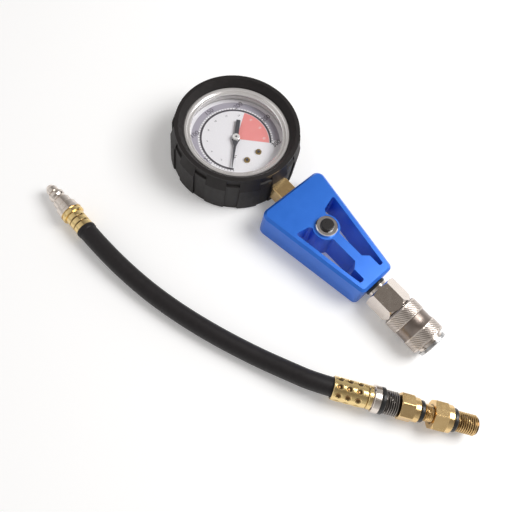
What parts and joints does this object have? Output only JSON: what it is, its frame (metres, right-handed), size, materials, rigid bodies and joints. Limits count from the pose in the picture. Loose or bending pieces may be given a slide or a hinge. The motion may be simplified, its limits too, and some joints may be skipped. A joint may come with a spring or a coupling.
{
  "type": "compression tester",
  "caption": "Engine compression tester: booted dial gauge with blue valve handle and quick coupler, and its hose with threaded adapters.",
  "frame": {"origin": "on the dial's axis, at the boot's back face, which rests on the floor", "axes": "+Z out of the dial, +Y towards its 12 o'clock; the stem, handle and coupler lie along -Y"},
  "size_m": [0.1587, 0.2771, 0.0315],
  "materials": {
    "boot_rubber": "matte",
    "seal_rubber": "satin",
    "gasket_grey": "satin",
    "bezel_steel": "satin",
    "clear_lens": "gloss",
    "dial_paint": "matte",
    "dark_brass": "satin",
    "stem_brass": "satin",
    "tube_brass": "satin",
    "needle_paint": "satin",
    "handle_blue": "satin",
    "ring_chrome": "gloss",
    "button_black": "satin",
    "coupler_nickel": "gloss",
    "spring_steel": "gloss",
    "hose_rubber": "matte",
    "ferrule_brass": "gloss",
    "thread_steel": "satin",
    "adapter_brass": "gloss"
  },
  "bodies": {
    "tester": {"rubber_boot": "boot_rubber", "gauge_case": "bezel_steel", "lens_gasket": "gasket_grey", "lens": "clear_lens", "bezel_ring": "bezel_steel", "dial_plate": "dial_paint", "stop_pin": "bezel_steel", "dial_screws": "dark_brass", "dial_posts": "stem_brass", "gauge_stem": "stem_brass", "bourdon_tube": "tube_brass", "movement_back_plate": "tube_brass", "movement_front_plate": "tube_brass", "movement_pillars": "tube_brass", "movement_screws": "tube_brass", "base_screws": "tube_brass", "hairspring": "bezel_steel", "handle_body": "handle_blue", "valve_seat": "stem_brass", "valve_ring": "ring_chrome", "valve_spring": "spring_steel", "coupler_body": "coupler_nickel", "neck_seal": "seal_rubber", "sleeve_spring": "spring_steel", "locking_balls": "spring_steel", "retaining_ring": "spring_steel", "coupler_seal": "seal_rubber", "coupler_spring": "spring_steel", "hose": "hose_rubber", "plug_ferrule": "ferrule_brass", "hose_plug": "coupler_nickel", "end_ferrule": "ferrule_brass", "end_collar": "coupler_nickel", "end_fitting": "thread_steel", "end_seal": "seal_rubber", "first_adapter": "adapter_brass", "first_seal": "seal_rubber", "second_adapter": "adapter_brass", "second_seal": "seal_rubber"},
    "sector": {"sector_gear": "tube_brass"},
    "pointer": {"pinion_shaft": "tube_brass", "needle": "needle_paint", "needle_cap": "bezel_steel"},
    "tip": {"tube_tip": "tube_brass"},
    "tip_link": {"link": "tube_brass"},
    "button": {"release_button": "button_black", "valve_stem": "stem_brass", "valve_seal": "seal_rubber"},
    "sleeve": {"coupler_sleeve": "coupler_nickel"},
    "inner_valve": {"coupler_valve": "coupler_nickel", "coupler_valve_seal": "seal_rubber"}
  },
  "joints": [
    {"name": "sector_turn", "type": "hinge", "parent": "tester", "child": "sector", "pos_m": [0.0147, -0.0103, 0.0098], "axis": [0, 0, 1], "range_deg": [0, 33.38], "stiffness_Nm_per_rad": 0.01},
    {"name": "needle_turn", "type": "hinge", "parent": "tester", "child": "pointer", "pos_m": [0, 0, 0.0098], "axis": [0, 0, 1], "range_deg": [-267, 0]},
    {"name": "tip_turn", "type": "hinge", "parent": "tester", "child": "tip", "pos_m": [0, 0, 0.0115], "axis": [0, 0, 1], "range_deg": [0, 7.57], "deforming": ["bourdon_tube"]},
    {"name": "link_swing", "type": "hinge", "parent": "tip", "child": "tip_link", "pos_m": [0.0198, -0.00531, 0.0107], "axis": [0, 0, 1], "range_deg": [-2.25, 0]},
    {"name": "button_press", "type": "slide", "parent": "tester", "child": "button", "axis": [0, 0, -1], "range_m": [0, 0.0025], "stiffness_N_per_m": 600, "deforming": ["valve_spring"]},
    {"name": "sleeve_slide", "type": "slide", "parent": "tester", "child": "sleeve", "axis": [0, -1, 0], "range_m": [0, 0.002], "deforming": ["sleeve_spring"]},
    {"name": "inner_valve_slide", "type": "slide", "parent": "tester", "child": "inner_valve", "axis": [0, 1, 0], "range_m": [0, 0.003], "stiffness_N_per_m": 400, "deforming": ["coupler_spring"]}
  ],
  "couplings": [
    {"joint": "needle_turn", "follows": "sector_turn", "ratio": -8},
    {"joint": "tip_turn", "follows": "sector_turn", "ratio": 0.22678},
    {"joint": "link_swing", "follows": "sector_turn", "ratio": -0.067447}
  ]
}
